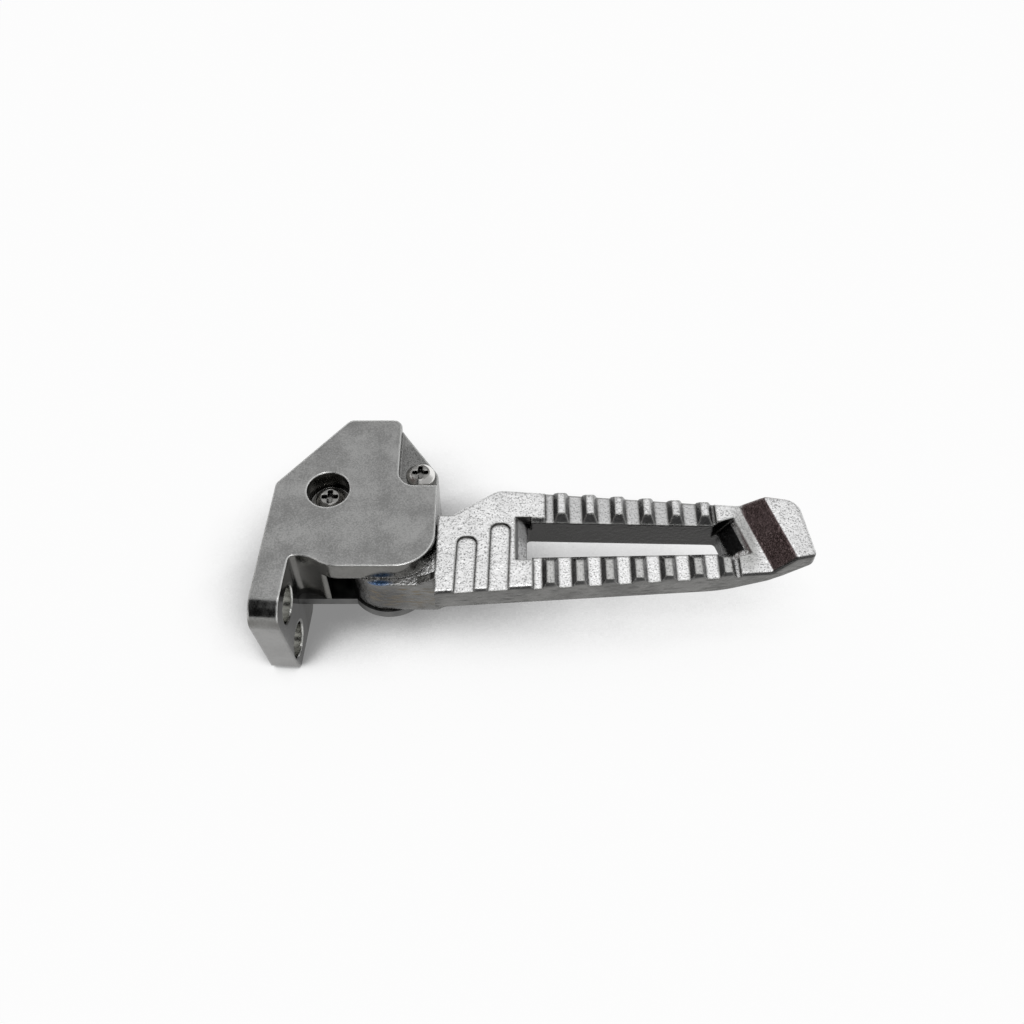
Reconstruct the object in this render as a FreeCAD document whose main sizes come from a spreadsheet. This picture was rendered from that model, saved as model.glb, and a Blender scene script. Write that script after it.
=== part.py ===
import FreeCAD, Part
import Sketcher
import math
import os
import re

# A folding passenger footpeg of cast and machined aluminium for a motorbike, in millimetres.
# Origin: midway between the two frame bolts, on the face that meets the frame.
# +X points outward along the peg, +Z up out of the standing surface, and the peg folds towards -Y.

SIZES = [
    # mounting flange
    ("toe", 4.0, "angle of the mounting face, in degrees, to the peg's crosswise direction"),
    ("flange_thickness", 7.8, "wall of the mounting flange"),
    ("flange_front", 9.9, "reach of the flange in front of the bolts"),
    ("flange_foot_front", 4.5, "reach of the flange's foot in front of the bolts"),
    ("flange_foot_rear", 15.0, "reach of the flange's foot behind the bolts"),
    ("flange_rear", 31.0, "reach of the flange behind the bolts, under the housing"),
    ("flange_drop", 18.3, "depth of the flange's foot below the bolt centre"),
    ("inner_round", 1.7, "fillet between the flange and the top plate's front edge"),
    ("flange_round", 6.5, "radius of the flange's upper front corner"),
    ("foot_round", 3.0, "radius of the corners of the flange's foot"),
    ("bolt_hole", 10.4, "diameter of the frame bolt holes"),
    ("bolt_spacing", 18.5, "distance between the frame bolt holes"),
    # housing
    ("top_level", 18.7, "height of the housing's top above the bolt centre"),
    ("plate_thickness", 5.9, "top plate of the housing"),
    ("slot_height", 12.7, "slot between the top plate and the lower plate"),
    ("lower_thickness", 2.7, "lower plate"),
    ("housing_front", 5.4, "front edge of the top plate"),
    ("housing_right", 46.2, "side of the housing that stops the peg"),
    ("housing_rear", 54.8, "rear edge of the housing"),
    ("rear_left", 20.7, "left end of the rear edge"),
    ("rear_right", 34.2, "right end of the rear edge"),
    ("cheek_rear", 32.3, "rear end of the mounting face along the top"),
    ("cut_corner", 37.2, "front end of the cut rear corner"),
    ("inner_front", 8.7, "front edge of the top plate beside the flange"),
    ("wave_left", 13.2, "left corner of the front edge's wave"),
    ("wave_right", 18.6, "right corner of the front edge's wave"),
    ("wave_round", 9.0, "radius of the front edge's wave"),
    ("plate_round", 10.5, "radius of the top plate's front corner"),
    ("rear_round", 2.5, "radius of the housing's rear corners"),
    ("side_round", 4.0, "radius where the cut corner meets the side"),
    ("web_setback", 1.5, "web and lower plate behind the top plate's front edge"),
    ("cavity_left", 17.5, "left wall of the hub's cavity"),
    ("cavity_round", 4.0, "radius of the cavity's inner corner"),
    ("cavity_gap", 0.6, "gap between the hub and the cavity's rear wall"),
    ("seam_gap", 0.05, "gap between the lower plate and the flange"),
    # screws
    ("screw_shank", 4.0, "diameter of the cover screws"),
    ("screw_head", 8.0, "diameter of the screws' pan heads"),
    ("head_height", 2.9, "height of the pan heads"),
    ("head_bevel", 1.5, "bevel of the pan heads' upper edge"),
    ("recess_span", 4.4, "span of the cross recess in the heads"),
    ("recess_width", 1.2, "width of the cross recess"),
    ("recess_depth", 1.7, "depth of the cross recess"),
    ("pocket_x", 16.7, "pocket screw from the mounting face"),
    ("pocket_y", 30.1, "pocket screw behind the bolts"),
    ("pocket_bore", 11.7, "diameter of the screw pocket"),
    ("pocket_depth", 6.6, "depth of the screw pocket"),
    ("washer_bore", 4.3, "bore of the washer in the pocket"),
    ("washer_width", 10.2, "outer diameter of the washer"),
    ("washer_thickness", 0.8, "thickness of the washer"),
    ("corner_x", 41.3, "corner screw from the mounting face"),
    ("corner_y", 36.3, "corner screw behind the bolts"),
    ("step_left", 35.4, "left wall of the corner step"),
    ("step_front", 31.6, "front wall of the corner step"),
    ("step_round", 4.6, "radius of the corner step"),
    ("step_depth", 3.0, "depth of the corner step"),
    # pivot and detent
    ("pivot_x", 33.1, "pivot from the mounting face"),
    ("pivot_y", 14.1, "pivot behind the bolts"),
    ("pin_width", 8.0, "diameter of the pivot pin"),
    ("pin_seat", 3.6, "depth of the pin's seat in the top plate"),
    ("bush_width", 11.0, "outer diameter of the bushes"),
    ("bush_length", 4.6, "length of each bush"),
    ("bush_clearance", 0.04, "running clearance between a bush and the pin"),
    ("lug_radius", 11.3, "radius of the lower plate's pivot lug"),
    ("plunger_width", 6.0, "diameter of the detent plunger"),
    ("plunger_length", 11.0, "length of the detent plunger"),
    ("plunger_clearance", 0.05, "running clearance of the plunger in its bore"),
    ("plunger_gap", 0.15, "gap between the plunger's nose and the hub's rim"),
    ("detent_depth", 1.0, "travel of the plunger into a notch"),
    ("detent_clearance", 0.2, "gap between the plunger's nose and the notch"),
    ("spring_length", 11.0, "length of the fitted spring"),
    ("spring_width", 5.0, "outer diameter of the spring"),
    ("spring_wire", 0.8, "side of the spring's square wire"),
    ("spring_turns", 5.0, "turns of the spring"),
    # peg
    ("hub_radius", 10.7, "radius of the peg's hub"),
    ("tongue_rear", 8.5, "rear side of the tongue from the pivot"),
    ("hub_gap", 0.2, "gap between the hub and each plate"),
    ("stop_gap", 0.3, "gap between the peg's shoulder and the housing"),
    ("hub_reach", 11.0, "length over which the tongue runs out under the peg, beyond the shoulder"),
    ("ramp_width", 2.4, "width of the ramp from the hub up to the standing surface"),
    ("peg_drop", 3.0, "standing surface below the housing's top"),
    ("peg_edge", 7.0, "thickness of the peg at its edges"),
    ("peg_belly", 3.0, "depth of the belly below the peg's edges"),
    ("root_front", -0.9, "front edge at the shoulder"),
    ("root_rear", 23.7, "rear edge at the shoulder"),
    ("root_flare", 3.0, "length of the straight side behind the shoulder"),
    ("widest_at", 62.7, "the peg's widest place"),
    ("widest_rear", 32.6, "rear edge at the widest place"),
    ("end_at", 133.6, "where the tip's sides begin to close in"),
    ("end_rear", 26.8, "rear edge at the tip"),
    ("end_front", 5.0, "front edge at the tip"),
    ("tip_front_at", 145.4, "front corner of the tip"),
    ("tip_front", 7.4, "front corner of the tip, crosswise"),
    ("tip_rear_at", 142.9, "rear corner of the tip"),
    ("tip_rear", 25.2, "rear corner of the tip, crosswise"),
    ("tip_round", 4.5, "radius of the tip's rear corner"),
    ("skew", 18.0, "angle of the tip's ramp, in degrees, to the crosswise direction"),
    ("center_line", 15.9, "middle of the standing surface, crosswise"),
    ("tip_ramp", 131.2, "foot of the tip's ramp, on the middle line"),
    ("tip_crest", 137.3, "crest of the tip's ramp, on the middle line"),
    ("tip_rise", 5.0, "height of the crest above the standing surface"),
    ("keel_start", 118.0, "where the peg's underside begins to curve up"),
    ("keel_middle", 134.0, "middle of the underside's curve"),
    ("keel_middle_rise", 5.0, "rise of the underside at that place"),
    ("lip_thickness", 2.2, "thickness of the tip's outer edge"),
    # slot, ridges and recesses of the standing surface
    ("slot_left", 70.5, "left end of the slot"),
    ("slot_right", 123.6, "right end of the slot, on the middle line"),
    ("slot_rear_left", 22.0, "rear wall of the slot at its left end"),
    ("slot_rear_right", 20.8, "rear wall of the slot at its right end"),
    ("slot_front_left", 10.6, "front wall of the slot at its left end"),
    ("slot_front_right", 11.8, "front wall of the slot at its right end"),
    ("slot_round", 1.2, "radius of the slot's corners"),
    ("slot_flare", 50.0, "flare of the slot above the rails, in degrees from upright"),
    ("left_bevel", 3.2, "bevel of the slot's left end"),
    ("right_bevel", 5.0, "bevel of the slot's right end"),
    ("boss_wall", 4.5, "wall of the boss round the slot's right end"),
    ("boss_draft", 15.0, "draft of that boss, in degrees"),
    ("rail_sink", 1.0, "depth of the ridged rails below the standing surface"),
    ("front_rail_left", 71.9, "left end of the front rail"),
    ("front_rail_right", 126.2, "right end of the front rail"),
    ("rear_rail_left", 75.5, "left end of the rear rail"),
    ("rear_rail_right", 121.5, "right end of the rear rail"),
    ("ridge_height", 1.9, "height of the ridges above the rails"),
    ("ridge_width", 2.0, "width of a ridge's crown"),
    ("ridge_slope", 30.0, "slope of the ridges' flanks, in degrees from upright"),
    ("ridge_overrun", 0.5, "reach of a ridge's foot past the peg's side, where it is trimmed"),
    ("ridge_pitch", 7.72, "distance from one ridge to the next"),
    ("front_ridge", 76.5, "first ridge of the front rail"),
    ("rear_ridge", 79.9, "first ridge of the rear rail"),
    ("front_ridges", 7, "number of ridges on the front rail"),
    ("rear_ridges", 6, "number of ridges on the rear rail"),
    ("short_recess_left", 50.5, "left side of the short recess"),
    ("short_recess_end", 16.9, "rear end of the short recess"),
    ("long_recess_left", 59.4, "left side of the long recess"),
    ("long_recess_end", 21.2, "rear end of the long recess"),
    ("recess_open", 5.4, "width of the recesses"),
    ("recess_lean", 1.4, "sideways lean of the recesses over their length"),
    ("recess_round", 2.2, "radius of the recesses' rear corners"),
    ("recess_sink", 0.7, "depth of the recesses"),
    ("edge_round", 1.0, "rounding of the peg's upper edges"),
    ("ramp_round", 1.6, "rounding of the foot and crest of the tip's ramp"),
    ("keel_round", 25.0, "rounding of the underside's curve"),
    ("side_sweep", 6.0, "rounding where the peg's sides change direction"),
    ("nose_round", 1.8, "radius of the tip's front corner"),
    ("belly_slope", 40.0, "slope of the belly's sides, in degrees"),
]

# Radius on which an outline's corners start, before they are tied to their formulas.
DRAFT_RADIUS = 40.0
# How near an edge has to lie to a line or a level to count as on it.
NEAR = 0.01

doc = FreeCAD.newDocument("passenger_footpeg")
sheet = doc.addObject("Spreadsheet::Sheet", "Sizes")
for row, (alias, value, meaning) in enumerate(SIZES, start=1):
    sheet.set(f"A{row}", alias)
    sheet.set(f"B{row}", str(value))
    sheet.set(f"C{row}", meaning)
    sheet.setAlias(f"B{row}", alias)
doc.recompute()

ALIASES = {alias for alias, value, meaning in SIZES}


def size(alias):
    """A driving dimension as it stands in the sheet."""
    return float(sheet.get(alias))


def bound(text):
    """A formula of dimension names, written as an expression on the sheet."""
    return re.sub(r"[a-z_]+", lambda m: f"Sizes.{m[0]}" if m[0] in ALIASES else m[0], text)


# Heights that several pieces share.
SLOT_TOP = "(top_level - plate_thickness)"
SLOT_FLOOR = "(top_level - plate_thickness - slot_height)"
BOTTOM = "(top_level - plate_thickness - slot_height - lower_thickness)"
HUB_TOP = f"({SLOT_TOP} - hub_gap)"
HUB_FLOOR = f"({SLOT_FLOOR} + hub_gap)"
HUB_MIDDLE = f"({SLOT_FLOOR} + slot_height / 2)"
PEG_TOP = "(top_level - peg_drop)"
PEG_EDGE = f"({PEG_TOP} - peg_edge)"
SHOULDER = "(housing_right + stop_gap)"
FLANGE_FACE = "(flange_thickness / cos(toe))"
RAIL = f"({PEG_TOP} - rail_sink)"
STANDING_LEVEL = size("top_level") - size("peg_drop")


def new_body(label):
    body = doc.addObject("PartDesign::Body", label)
    body.Label = label
    return body


def new_sketch(body, name, role, level="0", turn="0"):
    """A sketch on one of the body's origin planes, turned about its upright axis and lifted by level."""
    sketch = body.newObject("Sketcher::SketchObject", name)
    plane = next(f for f in body.Origin.OriginFeatures if f.Role == role)
    sketch.AttachmentSupport = [(plane, "")]
    sketch.MapMode = "FlatFace"
    if turn != "0":
        upright = FreeCAD.Vector(0, 1, 0)
        sketch.AttachmentOffset = FreeCAD.Placement(FreeCAD.Vector(), FreeCAD.Rotation(upright, 1.0))
        sketch.setExpression(".AttachmentOffset.Rotation.Angle", bound(turn))
        sketch.setExpression(".AttachmentOffset.Base.x", bound(f"({level}) * sin({turn})"))
    sketch.setExpression(".AttachmentOffset.Base.z", bound(f"({level}) * cos({turn})"))
    return sketch


def place(sketch, geometry, point, position):
    """Ties a point of a sketch to a pair of formulas."""
    for kind, formula in zip(("DistanceX", "DistanceY"), position):
        index = sketch.addConstraint(Sketcher.Constraint(kind, geometry, point, 1.0))
        sketch.setExpression(f"Constraints[{index}]", bound(formula))


def add_loop(sketch, corners):
    """A closed outline of straight sides through the corners, each a pair of formulas."""
    count = len(corners)
    first = sketch.GeometryCount
    for i in range(count):
        ends = [FreeCAD.Vector(math.cos(a), math.sin(a)) * DRAFT_RADIUS
                for a in (2 * math.pi * i / count, 2 * math.pi * (i + 1) / count)]
        sketch.addGeometry(Part.LineSegment(*ends))
    for i in range(count):
        following = first + (i + 1) % count
        sketch.addConstraint(Sketcher.Constraint("Coincident", first + i, 2, following, 1))
    for i, corner in enumerate(corners):
        place(sketch, first + i, 1, corner)


def add_circle(sketch, center, diameter):
    circle = sketch.addGeometry(Part.Circle(FreeCAD.Vector(1, 1), FreeCAD.Vector(0, 0, 1), 1.0))
    place(sketch, circle, 3, center)
    index = sketch.addConstraint(Sketcher.Constraint("Diameter", circle, 2.0))
    sketch.setExpression(f"Constraints[{index}]", bound(diameter))


def settle(made):
    """Recomputes the document and stops at a feature that failed."""
    doc.recompute()
    if "Invalid" in made.State or "Error" in made.State or made.Shape.isNull():
        raise RuntimeError(f"{made.Label} failed: {made.State}")


def feature(body, kind, name, sketch, length, reverse=False, taper="0"):
    """A pad or a pocket of a sketch, widening by the taper; a pocket has to take material away."""
    before = 0.0 if body.Shape.isNull() else body.Shape.Volume
    made = body.newObject(f"PartDesign::{kind}", name)
    made.Profile = sketch
    made.setExpression("Length", bound(length))
    made.Reversed = reverse
    made.setExpression("TaperAngle", bound(taper))
    settle(made)
    if kind == "Pocket" and not made.Shape.Volume < before - NEAR:
        raise RuntimeError(f"{body.Label}: {name} cuts nothing")
    return made


def edges_along(body, direction, points):
    """Names of the straight edges that run in a direction through one of the points."""
    names = []
    for number, edge in enumerate(body.Shape.Edges, start=1):
        ends = [v.Point for v in edge.Vertexes]
        if len(ends) < 2 or not isinstance(edge.Curve, Part.Line):
            continue
        if any(all((end - point).cross(direction).Length < NEAR for end in ends) for point in points):
            names.append(f"Edge{number}")
    return names


def corner_edges(body, sketch, corners):
    """Names of the straight edges that run square to a sketch through its numbered corners."""
    normal = sketch.Placement.Rotation.multVec(FreeCAD.Vector(0, 0, 1))
    points = [sketch.Placement.multVec(sketch.Geometry[i].StartPoint) for i in corners]
    return edges_along(body, normal, points)


def side_edges(body, sketch, corners, level):
    """Names of the straight edges at a level that lie on the sides of a sketch from its numbered corners."""
    names = []
    for number, edge in enumerate(body.Shape.Edges, start=1):
        ends = [v.Point for v in edge.Vertexes]
        if any(abs(end.z - level) > NEAR for end in ends):
            continue
        for i in corners:
            start, stop = (sketch.Placement.multVec(p) for p in
                           (sketch.Geometry[i].StartPoint, sketch.Geometry[i].EndPoint))
            along = (stop - start).normalize()
            if all(abs((end - start).cross(along).z) < NEAR for end in ends):
                names.append(f"Edge{number}")
                break
    return names


def dress(body, kind, name, edges, amount):
    """A fillet or a chamfer of the named edges of the body's last feature."""
    if not edges:
        raise RuntimeError(f"{body.Label}: {name} found no edge")
    base = body.Tip
    made = body.newObject(f"PartDesign::{kind}", name)
    made.Base = (base, edges)
    made.setExpression("Radius" if kind == "Fillet" else "Size", bound(amount))
    settle(made)
    return made


def pattern(body, original, name, sketch, pitch, count):
    """Repeats a feature along the construction line of a sketch."""
    made = body.newObject("PartDesign::LinearPattern", name)
    made.Originals = [original]
    made.Direction = (sketch, ["Axis0"])
    made.Mode = "Spacing"
    made.setExpression("Offset", bound(pitch))
    made.setExpression("Occurrences", bound(count))
    body.Tip = made
    settle(made)
    return made


def cylinder(name, center, floor, diameter, height):
    """An upright cylinder whose place and sizes are formulas."""
    made = doc.addObject("Part::Cylinder", name)
    made.setExpression("Radius", bound(f"({diameter}) / 2"))
    made.setExpression("Height", bound(height))
    for axis, formula in zip("xyz", (*center, floor)):
        made.setExpression(f".Placement.Base.{axis}", bound(formula))
    return made


def ring(label, center, floor, outside, bore, height):
    """A plain bush or washer."""
    made = doc.addObject("Part::Cut", label)
    made.Label = label
    made.Base = cylinder(f"{label}_outside", center, floor, outside, height)
    made.Tool = cylinder(f"{label}_bore", center, floor, bore, height)
    return made


def hole(body, name, center, level, diameter, depth, upward=False):
    sketch = new_sketch(body, f"{name}_sketch", "XY_Plane", level)
    add_circle(sketch, center, diameter)
    return feature(body, "Pocket", name, sketch, depth, reverse=upward)


PIVOT = ("pivot_x", "pivot_y")
POCKET = ("pocket_x", "pocket_y")
CORNER = ("corner_x", "corner_y")
CAVITY_REAR = "(pivot_y + hub_radius + cavity_gap)"
WEB_FRONT = "(housing_front + web_setback)"
REAR_CORNERS = [
    ("housing_right", "cut_corner"),
    ("rear_right", "housing_rear"),
    ("rear_left", "housing_rear"),
]


def make_housing():
    body = new_body("bracket_housing")
    plan = new_sketch(body, "plan", "XY_Plane", "top_level")
    add_loop(plan, [
        ("inner_front * tan(toe)", "inner_front"),
        ("wave_left", "inner_front"),
        ("wave_right", "housing_front"),
        ("housing_right", "housing_front"),
        *REAR_CORNERS,
        ("cheek_rear * tan(toe)", "cheek_rear"),
    ])
    feature(body, "Pad", "block", plan, "plate_thickness + slot_height", reverse=True)
    dress(body, "Fillet", "front_wave", corner_edges(body, plan, [1, 2]), "wave_round")
    dress(body, "Fillet", "front_corner", corner_edges(body, plan, [3]), "plate_round")
    dress(body, "Fillet", "side_corner", corner_edges(body, plan, [4]), "side_round")
    dress(body, "Fillet", "rear_corners", corner_edges(body, plan, [5, 6, 7]), "rear_round")

    cavity = new_sketch(body, "cavity_plan", "XY_Plane", SLOT_TOP)
    add_loop(cavity, [
        ("-flange_thickness", "-flange_front"),
        ("2 * housing_right", "-flange_front"),
        ("2 * housing_right", CAVITY_REAR),
        ("cavity_left", CAVITY_REAR),
        ("cavity_left", WEB_FRONT),
        ("-flange_thickness", WEB_FRONT),
    ])
    feature(body, "Pocket", "cavity", cavity, "slot_height")
    dress(body, "Fillet", "cavity_corner", corner_edges(body, cavity, [3]), "cavity_round")

    side = new_sketch(body, "flange_side", "YZ_Plane", turn="-toe")
    add_loop(side, [
        ("-flange_front", "top_level"),
        ("-flange_foot_front", "-flange_drop"),
        ("flange_foot_rear", "-flange_drop"),
        ("flange_rear", BOTTOM),
        ("flange_rear", "top_level"),
    ])
    feature(body, "Pad", "flange", side, "flange_thickness")
    toe = math.radians(size("toe"))
    inner_x = size("flange_thickness") / math.cos(toe) + size("inner_front") * math.tan(toe)
    root = FreeCAD.Vector(inner_x, size("inner_front"), 0)
    inner_edges = edges_along(body, FreeCAD.Vector(0, 0, 1), [root])
    dress(body, "Fillet", "inner_corner", inner_edges, "inner_round")
    dress(body, "Fillet", "flange_corner", corner_edges(body, side, [0]), "flange_round")
    dress(body, "Fillet", "foot_corners", corner_edges(body, side, [1, 2]), "foot_round")
    bolts = new_sketch(body, "bolt_sketch", "YZ_Plane", turn="-toe")
    for sign in ("", "-"):
        add_circle(bolts, ("0", f"{sign}bolt_spacing / 2"), "bolt_hole")
    feature(body, "Pocket", "bolt_holes", bolts, "flange_thickness", reverse=True)

    hole(body, "screw_pocket", POCKET, "top_level", "pocket_bore", "pocket_depth")
    step = new_sketch(body, "step_plan", "XY_Plane", "top_level")
    add_loop(step, [
        ("step_left", "step_front"),
        ("2 * housing_right", "step_front"),
        ("2 * housing_right", "2 * housing_rear"),
        ("step_left", "2 * housing_rear"),
    ])
    feature(body, "Pocket", "corner_step", step, "step_depth")
    dress(body, "Fillet", "step_corner", corner_edges(body, step, [0]), "step_round")
    for name, center in (("pocket_hole", POCKET), ("corner_hole", CORNER)):
        hole(body, name, center, SLOT_FLOOR, "screw_shank", "top_level", upward=True)
    hole(body, "pin_seat_bore", PIVOT, SLOT_TOP, "pin_width", "pin_seat", upward=True)
    channel = new_sketch(body, "channel_sketch", "XZ_Plane", f"-{CAVITY_REAR}")
    add_circle(channel, ("pivot_x", HUB_MIDDLE), "plunger_width + 2 * plunger_clearance")
    feature(body, "Pocket", "plunger_channel", channel,
            "plunger_gap + plunger_length + spring_length - cavity_gap")
    return body


def make_lower_plate():
    body = new_body("lower_plate")
    left = f"{FLANGE_FACE} + seam_gap"
    slant = "(housing_rear - cheek_rear) / (rear_left - cheek_rear * tan(toe))"
    plan = new_sketch(body, "plan", "XY_Plane", SLOT_FLOOR)
    add_loop(plan, [
        (f"{left} + {WEB_FRONT} * tan(toe)", WEB_FRONT),
        ("housing_right", WEB_FRONT),
        *REAR_CORNERS,
        (f"{left} + (cheek_rear + ({left}) * {slant}) * tan(toe)", f"cheek_rear + ({left}) * {slant}"),
    ])
    feature(body, "Pad", "plate", plan, "lower_thickness", reverse=True)
    dress(body, "Fillet", "front_corner", corner_edges(body, plan, [1]), "plate_round")
    dress(body, "Fillet", "side_corner", corner_edges(body, plan, [2]), "side_round")
    dress(body, "Fillet", "rear_corners", corner_edges(body, plan, [3, 4]), "rear_round")
    lug = new_sketch(body, "lug_sketch", "XY_Plane", SLOT_FLOOR)
    add_circle(lug, PIVOT, "2 * lug_radius")
    feature(body, "Pad", "pivot_lug", lug, "lower_thickness", reverse=True)
    hole(body, "pin_hole", PIVOT, SLOT_FLOOR, "pin_width", "lower_thickness")
    for name, center in (("pocket_thread", POCKET), ("corner_thread", CORNER)):
        hole(body, name, center, SLOT_FLOOR, "screw_shank", "lower_thickness")
    return body


def make_screw(label, center, seat):
    """A pan-head cover screw with a cross recess, from its seat down to the lower plate's underside."""
    body = new_body(label)
    head = new_sketch(body, "head_sketch", "XY_Plane", seat)
    add_circle(head, center, "screw_head")
    feature(body, "Pad", "head", head, "head_height")
    rim = [f"Edge{n}" for n, e in enumerate(body.Shape.Edges, start=1)
           if len(e.Vertexes) == 1 and e.CenterOfMass.z > body.Shape.CenterOfMass.z]
    dress(body, "Chamfer", "head_edge", rim, "head_bevel")
    shank = new_sketch(body, "shank_sketch", "XY_Plane", seat)
    add_circle(shank, center, "screw_shank")
    feature(body, "Pad", "shank", shank, f"{seat} - {BOTTOM}", reverse=True)
    for name, along, across in (("recess_one", "recess_span", "recess_width"),
                                ("recess_two", "recess_width", "recess_span")):
        slot = new_sketch(body, f"{name}_sketch", "XY_Plane", f"{seat} + head_height")
        x, y = center
        add_loop(slot, [
            (f"{x} - {along} / 2", f"{y} - {across} / 2"),
            (f"{x} + {along} / 2", f"{y} - {across} / 2"),
            (f"{x} + {along} / 2", f"{y} + {across} / 2"),
            (f"{x} - {along} / 2", f"{y} + {across} / 2"),
        ])
        feature(body, "Pocket", name, slot, "recess_depth")
    return body


def lay_along_y(made, start):
    """Turns an upright piece to lie along +Y from a point on the plunger's axis."""
    made.Placement = FreeCAD.Placement(FreeCAD.Vector(), FreeCAD.Rotation(FreeCAD.Vector(1, 0, 0), -90))
    for axis, formula in zip("xyz", ("pivot_x", start, HUB_MIDDLE)):
        made.setExpression(f".Placement.Base.{axis}", bound(formula))


NOSE = "(pivot_y + hub_radius + plunger_gap)"


def make_plunger():
    shaft = doc.addObject("Part::Cylinder", "plunger_shaft")
    shaft.setExpression("Radius", bound("plunger_width / 2"))
    shaft.setExpression("Height", bound("plunger_length - plunger_width / 2"))
    lay_along_y(shaft, f"{NOSE} + plunger_width / 2")
    nose = doc.addObject("Part::Sphere", "plunger_nose")
    nose.setExpression("Radius", bound("plunger_width / 2"))
    lay_along_y(nose, f"{NOSE} + plunger_width / 2")
    plunger = doc.addObject("Part::Fuse", "detent_plunger")
    plunger.Label = "detent_plunger"
    plunger.Base = shaft
    plunger.Tool = nose
    plunger.Refine = True
    return plunger


def make_spring():
    """A coil between the plunger's back and the end of its channel."""
    wire = size("spring_wire")
    radius = (size("spring_width") - wire) / 2
    height = size("spring_length") - wire
    coil = Part.makeHelix(height / size("spring_turns"), height, radius)
    corners = [FreeCAD.Vector(radius + x * wire / 2, 0, z * wire / 2)
               for x, z in ((-1, -1), (1, -1), (1, 1), (-1, 1), (-1, -1))]
    section = Part.makePolygon(corners)
    spring = doc.addObject("Part::Feature", "detent_spring")
    spring.Label = "detent_spring"
    spring.Shape = Part.Wire(coil.Edges).makePipeShell([section], True, True)
    lay_along_y(spring, f"{NOSE} + plunger_length + spring_wire / 2")
    return spring


def on_middle(formula):
    """A place on the peg's middle line, measured along a side sketch that is turned by the skew."""
    return f"({formula}) * cos(skew) + center_line * sin(skew)"


def skewed(formula, crosswise):
    """A place that follows the tip's skew away from the middle line."""
    return f"{formula} + (center_line - ({crosswise})) * tan(skew)"


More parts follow.
